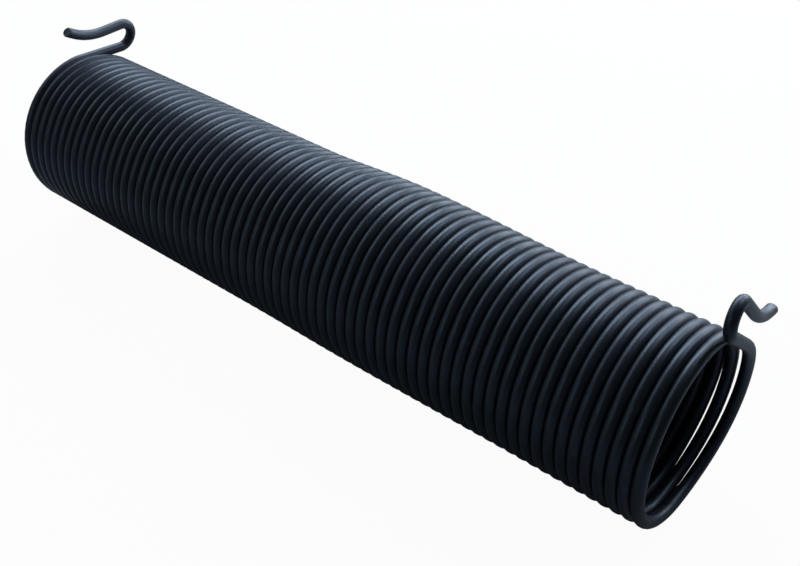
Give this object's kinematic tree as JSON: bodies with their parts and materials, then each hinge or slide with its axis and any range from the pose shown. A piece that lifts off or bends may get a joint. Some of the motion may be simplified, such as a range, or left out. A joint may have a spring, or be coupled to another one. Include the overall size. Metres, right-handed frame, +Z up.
{
  "type": "garage door torsion spring",
  "caption": "Close-wound torsion spring of round black-coated steel wire, with a hook formed on each end to hold it against turning.",
  "frame": {"origin": "on the coil's axis, halfway along the close-wound length", "axes": "+X along the coil's axis from the far end to the near end, +Z up with both hooks above the coil, -Y the front"},
  "size_m": [0.4106, 0.1065, 0.1126],
  "materials": {
    "coated_wire": "satin"
  },
  "bodies": {
    "root": {"spring_wire": "coated_wire"}
  },
  "joints": []
}
